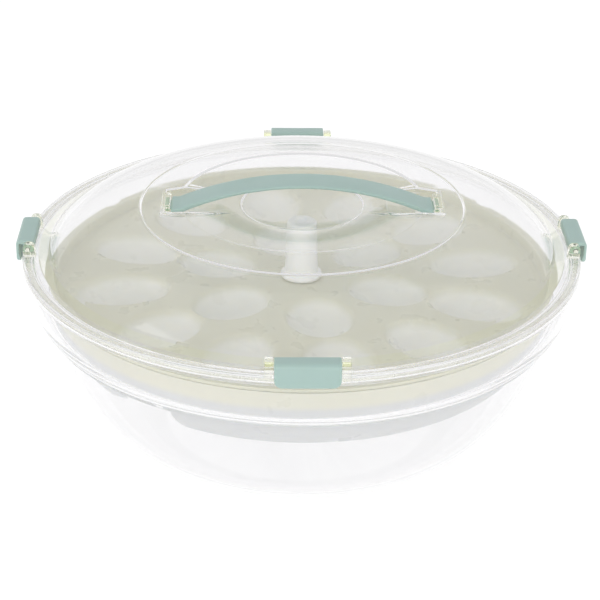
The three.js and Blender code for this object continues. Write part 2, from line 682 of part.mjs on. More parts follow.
LATCH_NAMES.forEach((name, index) => {
  const hinge = new THREE.Group();
  const axis = radians(LATCH_ANGLES[index]);
  const x = LATCH_AXIS_RADIUS * Math.cos(axis);
  const y = LATCH_AXIS_RADIUS * Math.sin(axis);
  hinge.position.set(x, y, LATCH_AXIS_Z);
  hinge.rotation.z = axis;
  hinge.add(
    piece(`latch_${name}`, latchSolid(), teal()),
    piece(`pin_${name}`, rodAlongY(PIN_RADIUS, PIN_LENGTH), tinted()),
  );
  server.add(hinge);
});

export default server;
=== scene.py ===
"""The finished look of the chip and dip server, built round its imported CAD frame.

Outlines are written in millimetres in the frame of the part and become metres when a mesh is made.
"""
import math

import bmesh
import bpy
import numpy as np
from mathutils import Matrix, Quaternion, Vector


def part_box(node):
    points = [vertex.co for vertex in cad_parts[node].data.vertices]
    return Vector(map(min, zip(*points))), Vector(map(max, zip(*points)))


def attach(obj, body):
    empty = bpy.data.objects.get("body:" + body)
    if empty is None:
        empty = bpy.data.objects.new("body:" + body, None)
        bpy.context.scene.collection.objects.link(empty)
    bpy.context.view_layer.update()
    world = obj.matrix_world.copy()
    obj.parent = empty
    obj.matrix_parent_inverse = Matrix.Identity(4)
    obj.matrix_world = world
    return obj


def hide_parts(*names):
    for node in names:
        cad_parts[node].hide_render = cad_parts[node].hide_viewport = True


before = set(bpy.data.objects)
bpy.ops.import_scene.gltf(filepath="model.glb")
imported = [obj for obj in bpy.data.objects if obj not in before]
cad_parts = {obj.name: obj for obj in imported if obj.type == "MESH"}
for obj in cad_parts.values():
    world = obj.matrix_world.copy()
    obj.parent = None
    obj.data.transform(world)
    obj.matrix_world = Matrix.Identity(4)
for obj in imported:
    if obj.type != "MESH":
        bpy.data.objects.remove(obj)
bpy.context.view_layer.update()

MM = 0.001
TURN_STEPS = 192  # facets round the large turned pieces
SMALL_TURN_STEPS = 64
ROUND_STEPS = 5  # points on each rounded corner of an outline


# ---- Sizes from the frame, in millimetres ----
def node_span(node):
    low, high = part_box(node)
    return low / MM, high / MM


BOWL_HIGH = node_span("bowl")[1]
DIVIDED_LOW, DIVIDED_HIGH = node_span("divided_tray")
EGG_HIGH = node_span("egg_tray")[1]
POST_LOW, POST_HIGH = node_span("lift_post")
LID_LOW = node_span("lid")[0]
SEAL_LOW, SEAL_HIGH = node_span("lid_seal")
STRAP_LOW, STRAP_HIGH = node_span("handle_strap")
LATCH_LOW, LATCH_HIGH = node_span("latch_right")
PIN_LOW, PIN_HIGH = node_span("pin_right")

REST_GAP = 0.3  # between pieces that rest on each other
RUN_GAP = 0.35  # round what turns
SINK = 0.6  # how far joined shapes reach into each other

RIM_R = BOWL_HIGH.x
BOWL_TOP = BOWL_HIGH.z
BOWL_WALL = 2.4
BASE_R = 88.0
LIP_OVERHANG = 1.5
LIP_THICKNESS = 2.4
SHELF_Z = 86.0
SHELF_R = 155.6
SHELF_WIDTH = 6.0
BELLY_LEAN = math.radians(14)
WALL_BULGE = (1.0, 9.6)  # inwards and upwards, of the upper wall

TRAY_WALL = 1.8
TRAY_RIM_R = EGG_HIGH.x
TRAY_SEAT = 3.0
TRAY_INSET = 5.0
SKIRT_R = SHELF_R + TRAY_SEAT
SKIRT_FLARE = 0.6
FLANGE_Z = SHELF_Z + REST_GAP
TRAY_BODY_R = SHELF_R - TRAY_INSET
DIVIDER_DROP = 2.8
DIVIDER_Z = FLANGE_Z - DIVIDER_DROP
COMPARTMENT_BOTTOM = DIVIDED_LOW.z
COMPARTMENT_COUNT = 3
FIRST_DIVIDER = math.radians(230)
DIVIDER_HALF = 7.8
COMPARTMENT_CORNER = 20.0
MIDDLE_CORNER = 24.0
TAPER = 15.0
TAPER_HEIGHT = 16.0
MOUTH_FLARE = 1.0

EGG_RIM_Z = EGG_HIGH.z
DECK_DROP = 7.6
DECK_Z = EGG_RIM_Z - DECK_DROP
EGG_WALL_GAP = 0.9
EGG_WALL_SLOPE = 0.8
EGG_WALL_R = SKIRT_R - TRAY_WALL - EGG_WALL_GAP
EGG_WALL_FOOT = EGG_WALL_R - EGG_WALL_SLOPE
WELL_DEPTH = 13.0
WELL_WIDTH = 40.0
WELL_SOFTNESS = 0.07
STEM_HOLE_R = 6.3
# rings of wells: count, first angle in degrees, radius of the middles, length of a well
WELL_RINGS = ((12, 10, 113.5, 57.0), (6, 40, 57.0, 50.0))
NOTCHES = (37, 143)
NOTCH_HALF = 7.0
NOTCH_DEPTH = 3.0

POST_TOP_R = 9.25
POST_BASE_R = 10.5
POST_FOOT_R = 13.0
POST_STEM_R = 6.0
POST_BARB_R = 6.9
POST_TIP_R = 5.1
POST_HOLLOW_R = 7.0
POST_WALL = 2.2
POST_DISH = (4.6, 3.6, 0.9)  # radius at the top, radius at the bottom, depth
POST_FOOT_STEP = 1.8

LID_WALL = 2.3
PLUG_DEPTH = 9.0
LID_Z = LID_LOW.z + PLUG_DEPTH  # top of the lid's edge
LID_LAND = 10.0
EDGE_WIDTH = 1.6
EDGE_HEIGHT = 4.0
MOUTH_R = RIM_R - LIP_OVERHANG - BOWL_WALL
PLUG_GAP = 1.1
PLUG_R = MOUTH_R - PLUG_GAP
PLUG_WIDTH = 2.0
DOME_FOOT_INSET = 16.0
DOME_FOOT_R = RIM_R - DOME_FOOT_INSET
DOME_FOOT_RISE = 2.0
DOME_BULGE = (8.0, 2.0)  # outwards and downwards, of the dome's flank
PLATEAU_R = 102.0
PLATEAU_RISE = 26.6
CROWN_R = 77.0
CROWN_RISE = 29.2
DISH_R = 38.6
DISH_RISE = 26.4
RING_STEP = 0.8

STRAP_WIDTH = STRAP_HIGH.y - STRAP_LOW.y
STRAP_THICKNESS = 2.2
STRAP_FOOT_THICKNESS = 3.6
TONGUE_LENGTH = 3.8
TONGUE_WIDTH = 12.0
TONGUE_THICKNESS = 1.4
STRAP_HALF = STRAP_HIGH.x - TONGUE_LENGTH
STRAP_FOOT = 9.0
STRAP_CROWN = 0.3
STRAP_STEPS = 110
STRAP_END_Z = STRAP_LOW.z + STRAP_FOOT_THICKNESS
STRAP_TOP = STRAP_HIGH.z
SEAT_FLOOR = STRAP_LOW.z - REST_GAP
SEAT_LEAD = 2.6
SEAT_RAMP = 26.0
SEAT_SPREAD = 9.0
HANDLE_LUG_GAP = 0.6
HANDLE_LUG_X = STRAP_HALF + HANDLE_LUG_GAP
HANDLE_LUG_THICKNESS = 5.4
HANDLE_LUG_OVER = 2.0
HANDLE_LUG_TOP = STRAP_END_Z + HANDLE_LUG_OVER

AXIS_R = (PIN_LOW.x + PIN_HIGH.x) / 2
AXIS_Z = (PIN_LOW.z + PIN_HIGH.z) / 2
PIN_R = PIN_HIGH.x - AXIS_R
PIN_HALF = PIN_HIGH.y
PIN_BORE = PIN_R + RUN_GAP
LATCH_HALF = LATCH_HIGH.y
LATCH_ROOF = 2.4
LATCH_REACH = 0.7  # from the bowl's lip to the inside of the latch's plate
LATCH_CORNER = 4.5
CATCH_DEPTH = 0.4
CATCH_HEIGHTS = (1.2, 1.7)  # at the ridge and at the plate
LUG_INNER = LATCH_HALF + RUN_GAP
LUG_THICKNESS = 5.0
LUG_HEAD = 3.6
LUG_FRONT = 2.9
LUG_ROOT = (5.0, 2.1)
LATCH_SIDES = ("right", "back", "left", "front")


# ---- Outlines ----
def arc(cx, cy, across, up, start, end, steps):
    """Points of an ellipse's arc between two angles in radians, as corners without rounding."""
    angles = [start + (end - start) * i / steps for i in range(steps + 1)]
    return [(cx + across * math.cos(a), cy + up * math.sin(a), 0) for a in angles]


def bezier(start, control, end, steps):
    """Points of a quadratic curve, as corners without rounding."""
    points = []
    for i in range(steps + 1):
        t = i / steps
        weights = ((1 - t) ** 2, 2 * t * (1 - t), t * t)
        x, y = (sum(w * p[k] for w, p in zip(weights, (start, control, end))) for k in (0, 1))
        points.append((x, y, 0))
    return points


def rounded(corners, steps=ROUND_STEPS):
    """Points of a closed outline, with each corner (x, y, radius) rounded by an arc."""
    outline = []
    count = len(corners)
    for i, (x, y, radius) in enumerate(corners):
        corner = Vector((x, y))
        before = Vector(corners[i - 1][:2]) - corner
        after = Vector(corners[(i + 1) % count][:2]) - corner
        if radius == 0 or before.length == 0 or after.length == 0:
            outline.append((x, y))
            continue
        half = before.angle(after) / 2
        reach = min(radius / math.tan(half), before.length * 0.49, after.length * 0.49)
        radius = reach * math.tan(half)
        before.normalize()
        after.normalize()
        centre = corner + (before + after).normalized() * (radius / math.sin(half))
        first = corner + before * reach - centre
        last = corner + after * reach - centre
        sweep = first.angle(last)
        for k in range(steps + 1):
            t = k / steps
            share = math.sin((1 - t) * sweep) * first + math.sin(t * sweep) * last
            point = centre + share / math.sin(sweep)
            outline.append((point.x, point.y))
    return outline


# ---- Meshes ----
def make_object(name, points, faces, sharp=32):
    """An object from points in millimetres, shaded smooth except along edges sharper than an angle."""
    mesh = bpy.data.meshes.new(name)
    mesh.from_pydata([Vector(p) * MM for p in points], [], faces)
    mesh.validate()
    made = bpy.data.objects.new(name, mesh)
    bpy.context.scene.collection.objects.link(made)
    shade(made, sharp)
    return made


def shade(piece, sharp=32):
    piece.data.shade_smooth()
    piece.data.set_sharp_from_angle(angle=math.radians(sharp))


def turned(name, outline, steps=TURN_STEPS):
    """Turns a closed outline of (radius, height) points round Z. Points on the axis become one."""
    points = []
    rings = []
    for radius, height in outline:
        start = len(points)
        if radius < 1e-6:
            points.append((0, 0, height))
            rings.append([start] * steps)
            continue
        for k in range(steps):
            a = math.tau * k / steps
            points.append((radius * math.cos(a), radius * math.sin(a), height))
        rings.append(list(range(start, start + steps)))
    faces = []
    for low, high in zip(rings, rings[1:] + rings[:1]):
        for k in range(steps):
            n = (k + 1) % steps
            face = list(dict.fromkeys((low[k], low[n], high[n], high[k])))
            if len(face) > 2:
                faces.append(face)
    return outward(make_object(name, points, faces))


def lofted(name, rings):
    """A closed solid through rings of points, all with the same count, with flat ends."""
    count = len(rings[0])
    points = [p for ring in rings for p in ring]
    faces = []
    for r in range(len(rings) - 1):
        for k in range(count):
            n = (k + 1) % count
            base = r * count
            faces.append((base + k, base + n, base + count + n, base + count + k))
    faces.append(tuple(range(count)))
    faces.append(tuple(range((len(rings) - 1) * count, len(rings) * count)))
    return outward(make_object(name, points, faces))


def outward(piece):
    """Turns every face of a closed mesh outwards."""
    work = bmesh.new()
    work.from_mesh(piece.data)
    bmesh.ops.recalc_face_normals(work, faces=work.faces)
    work.to_mesh(piece.data)
    work.free()
    shade(piece)
    return piece


def rounded_box(name, low, high, radius):
    """A box with rounded upright edges and softened top and bottom edges."""
    corners = ((low[0], low[1]), (high[0], low[1]), (high[0], high[1]), (low[0], high[1]))
    middle = Vector(((low[0] + high[0]) / 2, (low[1] + high[1]) / 2))
    soft = radius / 2
    rings = []
    for z, inset in ((low[2], soft), (low[2] + soft, 0), (high[2] - soft, 0), (high[2], soft)):
        inset_corners = []
        for x, y in corners:
            inset_corners.append((
                x - math.copysign(inset, x - middle.x),
                y - math.copysign(inset, y - middle.y),
                radius,
            ))
        rings.append([(x, y, z) for x, y in rounded(inset_corners)])
    return lofted(name, rings)


def combine(piece, other, operation):
    """Joins a solid to a piece or cuts it away, and removes the solid."""
    modifier = piece.modifiers.new("combine", "BOOLEAN")
    modifier.operation = operation
    modifier.object = other
    modifier.solver = "MANIFOLD"
    bake_modifiers(piece)
    bpy.data.objects.remove(other)
    return piece


def bake_modifiers(piece):
    """Replaces a piece's mesh with the one that its modifiers make."""
    graph = bpy.context.evaluated_depsgraph_get()
    made = bpy.data.meshes.new_from_object(piece.evaluated_get(graph))
    made.materials.clear()
    piece.modifiers.clear()
    piece.data = made


def spun(piece, degrees):
    """Turns a piece's mesh round Z."""
    a = math.radians(degrees)
    co = np.empty(len(piece.data.vertices) * 3)
    piece.data.vertices.foreach_get("co", co)
    co = co.reshape(-1, 3)
    x, y = co[:, 0].copy(), co[:, 1].copy()
    co[:, 0] = x * math.cos(a) - y * math.sin(a)
    co[:, 1] = x * math.sin(a) + y * math.cos(a)
    piece.data.vertices.foreach_set("co", co.ravel())
    piece.data.update()
    return piece


def finish_piece(piece, node, body, slot, *materials):
    """Gives a piece its materials, and its place in the frame."""
    for material in materials:
        piece.data.materials.append(material)
    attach(piece, body)
    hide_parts(node)
    return piece


# ---- Materials ----
TRAPPED_AFTER = 7  # bounces
FADE = 6.0  # millimetres


def new_material(name):
    material = bpy.data.materials.new(name)
    material.use_nodes = True
    tree = material.node_tree
    return material, tree, tree.nodes["Principled BSDF"]


def add(tree, kind, **inputs):
    """Adds a node and sets or links its inputs by name."""
    node = tree.nodes.new(kind)
    for key, value in inputs.items():
        socket = node.inputs[key.replace("_", " ")]
        if isinstance(value, bpy.types.NodeSocket):
            tree.links.new(value, socket)
        else:
            socket.default_value = value
    return node


def noise(tree, scale, detail=3.0):
    """A noise pattern fixed to the object, with a scale in bumps per metre."""
    place = tree.nodes.new("ShaderNodeTexCoord").outputs["Object"]
    return add(tree, "ShaderNodeTexNoise", Vector=place, Scale=scale, Detail=detail).outputs["Fac"]


def between(tree, factor, low, high):
    """Maps a pattern from 0..1 to a range."""
    node = tree.nodes.new("ShaderNodeMapRange")
    tree.links.new(factor, node.inputs["Value"])
    node.inputs["From Min"].default_value = 0.3
    node.inputs["From Max"].default_value = 0.7
    node.inputs["To Min"].default_value = low
    node.inputs["To Max"].default_value = high
    return node.outputs["Result"]


def mixed_colour(tree, factor, first, second):
    node = tree.nodes.new("ShaderNodeMix")
    node.data_type = "RGBA"
    tree.links.new(factor, node.inputs["Factor"])
    node.inputs["A"].default_value = (*first, 1)
    node.inputs["B"].default_value = (*second, 1)
    return node.outputs["Result"]


def bump(tree, height, distance, strength=1.0):
    node = add(tree, "ShaderNodeBump", Height=height, Strength=strength, Distance=distance)
    return node.outputs["Normal"]


def larger(tree, first, second):
    node = tree.nodes.new("ShaderNodeMath")
    node.operation = "MAXIMUM"
    tree.links.new(first, node.inputs[0])
    tree.links.new(second, node.inputs[1])
    return node.outputs[0]


def paint_light_or_shade_below(tree, colour, height, painted_colour):
    """Fades a colour into a painted one over a few millimetres below a height, the painted colour
    standing in for light or shade.
    """
    place = tree.nodes.new("ShaderNodeTexCoord").outputs["Object"]
    split = add(tree, "ShaderNodeSeparateXYZ", Vector=place)
    depth = tree.nodes.new("ShaderNodeMapRange")
    depth.interpolation_type = "SMOOTHSTEP"
    tree.links.new(split.outputs["Z"], depth.inputs["Value"])
    depth.inputs["From Min"].default_value = height * MM
    depth.inputs["From Max"].default_value = (height - FADE) * MM
    mixed = tree.nodes.new("ShaderNodeMix")
    mixed.data_type = "RGBA"
    tree.links.new(depth.outputs["Result"], mixed.inputs["Factor"])
    tree.links.new(colour, mixed.inputs["A"])
    mixed.inputs["B"].default_value = (*painted_colour, 1)
    return mixed.outputs["Result"]


def clear_plastic(name, first, second, roughness, shade_colour):
    """Clear moulded plastic, faintly uneven, that lets lamps through to what is inside it.

    Light that has bounced many times leaves a wall straight ahead, so that edges stay pale.
    """
    material, tree, shader = new_material(name)
    colour = mixed_colour(tree, noise(tree, 14), first, second)
    tree.links.new(colour, shader.inputs["Base Color"])
    fine = noise(tree, 900, 2)
    rough = between(tree, noise(tree, 45), roughness, roughness * 2.2)
    tree.links.new(rough, shader.inputs["Roughness"])
    waves = add(tree, "ShaderNodeMath", Value=fine)
    waves.operation = "MULTIPLY_ADD"
    waves.inputs[1].default_value = 0.02
    tree.links.new(noise(tree, 16, 1), waves.inputs[2])
    tree.links.new(bump(tree, waves.outputs[0], 0.0006, 0.35), shader.inputs["Normal"])
    shader.inputs["IOR"].default_value = 1.49
    shader.inputs["Transmission Weight"].default_value = 1.0
    path = tree.nodes.new("ShaderNodeLightPath")
    indirect = larger(tree, path.outputs["Is Shadow Ray"], path.outputs["Is Diffuse Ray"])
    trapped = add(tree, "ShaderNodeMath", Value=path.outputs["Ray Depth"])
    trapped.operation = "GREATER_THAN"
    trapped.inputs[1].default_value = TRAPPED_AFTER
    through = add(tree, "ShaderNodeBsdfTransparent", Color=(*shade_colour, 1))
    mix = tree.nodes.new("ShaderNodeMixShader")
    tree.links.new(larger(tree, indirect, trapped.outputs[0]), mix.inputs[0])
    tree.links.new(shader.outputs[0], mix.inputs[1])
    tree.links.new(through.outputs[0], mix.inputs[2])
    tree.links.new(mix.outputs[0], tree.nodes["Material Output"].inputs["Surface"])
    return material


def solid_plastic(name, first, second, roughness, glow, grain, painted_light_or_shade=None):
    """Milky moulded plastic, with slight clouding, a fine grain and light inside it.

    An optional last pair gives a height and a colour painted in below it, as painted light or shade.
    """
    material, tree, shader = new_material(name)
    colour = mixed_colour(tree, noise(tree, 22), first, second)
    # paints light or shade in below a height
    if painted_light_or_shade:
        colour = paint_light_or_shade_below(tree, colour, *painted_light_or_shade)
    tree.links.new(colour, shader.inputs["Base Color"])
    rough = between(tree, noise(tree, 60), roughness * 0.8, roughness * 1.25)
    tree.links.new(rough, shader.inputs["Roughness"])
    tree.links.new(bump(tree, noise(tree, 1400, 2), grain, 0.4), shader.inputs["Normal"])
    shader.inputs["IOR"].default_value = 1.5
    shader.inputs["Subsurface Weight"].default_value = glow
    shader.inputs["Subsurface Radius"].default_value = (1.0, 0.9, 0.7)
    shader.inputs["Subsurface Scale"].default_value = 0.003
    return material


FINE_GRAIN = 0.00003
CLEAR = clear_plastic(
    "clear_plastic", (0.965, 0.962, 0.972), (0.975, 0.972, 0.975), 0.012, (0.97, 0.97, 0.965)
)
TINTED = clear_plastic("tinted_edge", (0.95, 0.965, 0.83), (0.97, 0.975, 0.88), 0.03, (0.95, 0.96, 0.90))
SEAL = clear_plastic("seal_rubber", (0.95, 0.955, 0.87), (0.97, 0.97, 0.91), 0.18, (0.95, 0.95, 0.90))
# painted light: the wells start under the deck, and from there down they are painted lighter and less
# yellow, as the light they catch
PAINTED_LIGHT_WELLS = (DECK_Z - 0.2, (0.85, 0.85, 0.78))
# painted show-through and shade: the egg tray shows through the skirt, painted as cream, down to a
# height, and below it the divided tray is painted greyer and darker, as shade
SKIRT_SHOW_THROUGH_AND_SHADE = (SHELF_Z + 11, (0.66, 0.67, 0.675))
# the egg tray, with its wells painted lighter as painted light
CREAM = solid_plastic(
    "cream_plastic", (0.68, 0.675, 0.55), (0.72, 0.72, 0.60), 0.3, 0.4, FINE_GRAIN, PAINTED_LIGHT_WELLS
)
# the divided tray, with its painted show-through and shade
WHITE = solid_plastic(
    "white_plastic", (0.73, 0.72, 0.62), (0.75, 0.745, 0.65), 0.34, 0.4, FINE_GRAIN, SKIRT_SHOW_THROUGH_AND_SHADE
)
POST = solid_plastic("post_plastic", (0.95, 0.95, 0.91), (0.97, 0.97, 0.94), 0.34, 0.4, FINE_GRAIN)
TEAL = solid_plastic("teal_plastic", (0.35, 0.48, 0.445), (0.38, 0.515, 0.48), 0.36, 0.25, 0.00005)


# ---- Bowl ----
def bowl_side(inset, steps=48):
    """The bowl's outside, or its inside with the wall as inset, from the base up to the lip."""
    belly = SHELF_R + BOWL_WALL - inset
    belly_top = SHELF_Z - 2 * BOWL_WALL
    middle_z = belly_top / (1 - math.sin(BELLY_LEAN))
    across = (belly - BASE_R) / math.cos(BELLY_LEAN)
    shelf = SHELF_Z - BOWL_WALL + inset
    foot = SHELF_R + SHELF_WIDTH + BOWL_WALL - inset
    top = RIM_R - LIP_OVERHANG - inset
    bulge = (top - WALL_BULGE[0], shelf + WALL_BULGE[1])
    return [
        *arc(BASE_R, middle_z, across, middle_z - inset, -math.pi / 2, -BELLY_LEAN, steps),
        (belly, shelf, 1.4),
        (foot - 0.6, shelf, 1.6),
        *bezier((foot, shelf + BOWL_WALL), bulge, (top, BOWL_TOP - LIP_THICKNESS), 20),
    ]


def bowl():
    under = BOWL_TOP - LIP_THICKNESS
    outline = rounded([
        (0, 0, 0),
        *bowl_side(0),
        (RIM_R, under + 0.2, 0.8),
        (RIM_R, BOWL_TOP, 0.8),
        (MOUTH_R, BOWL_TOP, 0.7),
        *bowl_side(BOWL_WALL)[::-1],
        (0, BOWL_WALL, 0),
    ])
    return turned("fine_bowl", outline)


# ---- Three-compartment tray ----
def compartment_ring(middle, inset, z):
    """The outline of a compartment, a third of a disc with round corners, drawn in by an inset."""
    side = DIVIDER_HALF + inset
    outer = TRAY_BODY_R - SINK - inset
    corner = max(COMPARTMENT_CORNER - inset, 1.0)
    middle_corner = max(MIDDLE_CORNER - inset, 1.0)
    half = math.pi / COMPARTMENT_COUNT
    sweep = half - math.asin((side + corner) / (outer - corner))
    reach = (side + middle_corner) / math.sin(half)
    far = outer - corner
    quarter = math.pi / 2
    left = (far * math.cos(sweep), far * math.sin(sweep))
    outline = [
        *arc(left[0], -left[1], corner, corner, -half - quarter, -sweep, 12),
        *arc(0, 0, outer, outer, -sweep, sweep, 40)[1:-1],
        *arc(left[0], left[1], corner, corner, sweep, half + quarter, 12),
        *arc(reach, 0, middle_corner, middle_corner, half + quarter, 3 * quarter - half, 14),
    ]
    c, s = math.cos(middle), math.sin(middle)
    return [(x * c - y * s, x * s + y * c, z) for x, y, _ in outline]


def compartment(middle, wall, top, flare=0.0):
    """A compartment's body, or with a wall its hollow, whose mouth can flare out at the top."""
    bottom = COMPARTMENT_BOTTOM + wall
    height = TAPER_HEIGHT - wall
    rings = []
    for i in range(13):
        a = math.pi / 2 * i / 12
        z = bottom + height * (1 - math.cos(a))
        rings.append(compartment_ring(middle, wall + TAPER * (1 - math.sin(a)), z))
    if flare:
        for i in range(6):
            a = math.pi / 2 * i / 5
            z = DIVIDER_Z - flare * (1 - math.sin(a))
            rings.append(compartment_ring(middle, wall - flare * (1 - math.cos(a)), z))
        rings.append(compartment_ring(middle, wall - flare, top))
    else:
        rings.append(compartment_ring(middle, wall, top))
    return lofted("compartment", rings)


def divided_tray():
    inner = TRAY_BODY_R - TRAY_WALL
    skirt_inner = SKIRT_R - TRAY_WALL
    under_rim = DIVIDED_HIGH.z - TRAY_WALL
    tray = turned("fine_divided_tray", rounded([
        (0, DIVIDER_Z - TRAY_WALL, 0),
        (TRAY_BODY_R, DIVIDER_Z - TRAY_WALL, 1.6),
        (TRAY_BODY_R, FLANGE_Z, 0.5),
        (SKIRT_R, FLANGE_Z, 0.9),
        (SKIRT_R + SKIRT_FLARE, under_rim, 0.4),
        (TRAY_RIM_R, under_rim, 0.5),
        (TRAY_RIM_R, DIVIDED_HIGH.z, 0.5),
        (skirt_inner + SKIRT_FLARE, DIVIDED_HIGH.z, 0.7),
        (skirt_inner, FLANGE_Z + TRAY_WALL, 0.9),
        (inner, FLANGE_Z + TRAY_WALL, 1.2),
        (inner, DIVIDER_Z, 0.8),
        (0, DIVIDER_Z, 0),
    ]))
    middles = [
        FIRST_DIVIDER + math.tau * (i + 0.5) / COMPARTMENT_COUNT for i in range(COMPARTMENT_COUNT)
    ]
    for middle in middles:
        combine(tray, compartment(middle, 0, DIVIDER_Z - TRAY_WALL / 2), "UNION")
    for middle in middles:
        combine(tray, compartment(middle, TRAY_WALL, DIVIDER_Z + 1, MOUTH_FLARE), "DIFFERENCE")
    shade(tray)
    return tray


# ---- Egg tray ----
def well_drop(x, y):
    """How far the deck sinks at a place, as a share of a well's depth, with softened rims."""
    drop = np.zeros_like(x)
    for count, first, radius, length in WELL_RINGS:
        for i in range(count):
            a = math.radians(first + 360 * i / count)
            along = (x * math.cos(a) + y * math.sin(a) - radius) / (length / 2)
            across = (y * math.cos(a) - x * math.sin(a)) / (WELL_WIDTH / 2)
            inside = 1 - along**2 - across**2
            share = np.sqrt((inside + np.sqrt(inside**2 + WELL_SOFTNESS**2)) / 2)
            drop = np.maximum(drop, share)
    return np.minimum(drop, 1.0)


def egg_profile():
    """Radius, height and share of the wells' drop, from the stem's hole out to the rim."""
    wall_inner = EGG_WALL_R - TRAY_WALL
    deck_width = EGG_WALL_FOOT - 4 - STEM_HOLE_R
    stations = [(STEM_HOLE_R + deck_width * i / 118, DECK_Z, 1.0) for i in range(119)]
    side = rounded([
        (EGG_WALL_FOOT - 6, DECK_Z, 0),
        (EGG_WALL_FOOT - TRAY_WALL, DECK_Z, 1.6),
        (wall_inner, EGG_RIM_Z, 1.2),
        (TRAY_RIM_R - 0.2, EGG_RIM_Z, 0),
    ])[1:]
    return stations + [(r, z, 0.0) for r, z in side]


def egg_tray():
    steps = 400
    profile = egg_profile()
    angles = np.arange(steps) * math.tau / steps
    notch = np.zeros(steps)
    for degrees in NOTCHES:
        off = np.abs((angles - math.radians(degrees) + math.pi) % math.tau - math.pi) * TRAY_RIM_R
        notch = np.maximum(notch, np.clip(1.0 - (off / NOTCH_HALF) ** 2, 0, 1) ** 0.5)
    points = []
    for radius, z, share in profile:
        rim = max(0.0, (radius - EGG_WALL_R + TRAY_WALL) / (TRAY_RIM_R - EGG_WALL_R + TRAY_WALL))
        r = radius - NOTCH_DEPTH * rim * notch
        x, y = r * np.cos(angles), r * np.sin(angles)
        heights = z - WELL_DEPTH * share * well_drop(x, y) * (radius < EGG_WALL_FOOT - 4.5)
        points.extend(zip(x, y, heights))
    faces = []
    for i in range(len(profile) - 1):
        for k in range(steps):
            n = (k + 1) % steps
            faces.append((i * steps + k, i * steps + n, (i + 1) * steps + n, (i + 1) * steps + k))
    tray = make_object("fine_egg_tray", points, faces, 60)
    if tray.data.polygons[0].normal.z < 0:
        tray.data.flip_normals()
    thick = tray.modifiers.new("thickness", "SOLIDIFY")
    thick.thickness = TRAY_WALL * MM
    thick.offset = -1
    bake_modifiers(tray)
    shade(tray, 80)
    return tray


def lift_post():
    top = POST_HIGH.z
    foot = DECK_Z + REST_GAP
    barb = DECK_Z - TRAY_WALL - REST_GAP
    hollow_stem = POST_STEM_R - POST_WALL
    dish_top, dish_bottom, dish_depth = POST_DISH
    ceiling = top - dish_depth - POST_WALL
    outline = rounded([
        (hollow_stem, POST_LOW.z, 0.4),
        (POST_TIP_R, POST_LOW.z, 0.4),
        (POST_BARB_R, barb, 0.2),
        (POST_STEM_R, barb, 0.1),
        (POST_STEM_R, foot, 0.1),
        (POST_FOOT_R, foot, 0.4),
        (POST_FOOT_R, foot + POST_FOOT_STEP, 0.9),
        (POST_BASE_R, foot + 2 * POST_FOOT_STEP, 1.6),
        (POST_TOP_R, top, 1.6),
        (dish_top, top, 0.8),
        (dish_bottom, top - dish_depth, 0.8),
        (0, top - dish_depth, 0),
        (0, ceiling, 0),
        (POST_HOLLOW_R, ceiling, 1.0),
        (POST_BASE_R - POST_WALL, foot + 2 * POST_FOOT_STEP, 1.0),
        (hollow_stem, foot + POST_FOOT_STEP, 0.6),
    ])
    return turned("fine_lift_post", outline, SMALL_TURN_STEPS)


# ---- Lid ----
def dome_side(inset):
    """The dome's upper face, or its lower face with the wall as inset, from its foot to the axis."""
    foot = (DOME_FOOT_R - inset, LID_Z + DOME_FOOT_RISE - inset)
    plateau = (PLATEAU_R - inset / 2, LID_Z + PLATEAU_RISE - RING_STEP - inset)
    control = ((foot[0] + plateau[0]) / 2 + DOME_BULGE[0], plateau[1] - DOME_BULGE[1])
    return [
        *bezier(foot, control, plateau, 28),
        (PLATEAU_R - RING_STEP - inset / 2, LID_Z + PLATEAU_RISE - inset, 0.9),
        (CROWN_R - inset / 2, LID_Z + CROWN_RISE - inset, 1.6),
        (DISH_R, LID_Z + DISH_RISE - inset, 0.5),
        (DISH_R - RING_STEP, LID_Z + DISH_RISE - RING_STEP - inset, 0.5),
        (0, LID_Z + DISH_RISE - RING_STEP - inset, 0),
    ]


def lid_shell():
    under = LID_Z - LID_WALL
    edge_inner = RIM_R - EDGE_WIDTH
    outline = rounded([
        *dome_side(LID_WALL)[::-1],
        (RIM_R - LID_LAND - LID_WALL / 2, under, 1.0),
        (PLUG_R - PLUG_WIDTH, under, 0.4),
        (PLUG_R - PLUG_WIDTH, LID_LOW.z, 0.8),
        (PLUG_R, LID_LOW.z, 0.8),
        (PLUG_R, under, 0.3),
        (edge_inner, under, 0.3),
        (edge_inner, LID_Z - EDGE_HEIGHT, 0.5),
        (RIM_R, LID_Z - EDGE_HEIGHT, 0.6),
        (RIM_R, LID_Z, 1.4),
        (RIM_R - LID_LAND, LID_Z, 1.2),
        *dome_side(0),
    ])
    return turned("fine_lid", outline)


def bar_along_y(name, corners, low, high, soft):
    """An outline of (across, height) corners made solid along Y, with its end edges softened."""
    middle = Vector([sum(c[k] for c in corners) / len(corners) for k in (0, 1)])
    rings = []
    for y, inset in ((low, soft), (low + soft * 0.3, soft * 0.3), (low + soft, 0)):
        rings.append((y, inset))
    rings += [(high + low - y, inset) for y, inset in rings[::-1]]
    made = []
    for y, inset in rings:
        pulled = []
        for x, z, radius in corners:
            pulled.append((
                x - math.copysign(inset, x - middle.x),
                z - math.copysign(inset, z - middle.y),
                radius,
            ))
        made.append([(x, y, z) for x, z in rounded(pulled)])
    return lofted(name, made)


def latch_lug(side):
    """One lug of the latch hinge at +X, without its bore."""
    corners = [
        (AXIS_R - LUG_ROOT[0], LID_Z - SINK, 0.2),
        (AXIS_R + LUG_ROOT[1], LID_Z - SINK, 0.2),
        (AXIS_R + LUG_FRONT, AXIS_Z - LUG_HEAD, 1.0),
        (AXIS_R + LUG_FRONT, AXIS_Z + LUG_HEAD, 2.6),
        (AXIS_R - LUG_HEAD, AXIS_Z + LUG_HEAD, 2.6),
    ]
    low = LUG_INNER if side > 0 else -LUG_INNER - LUG_THICKNESS
    return bar_along_y("lug", corners, low, low + LUG_THICKNESS, 0.5)


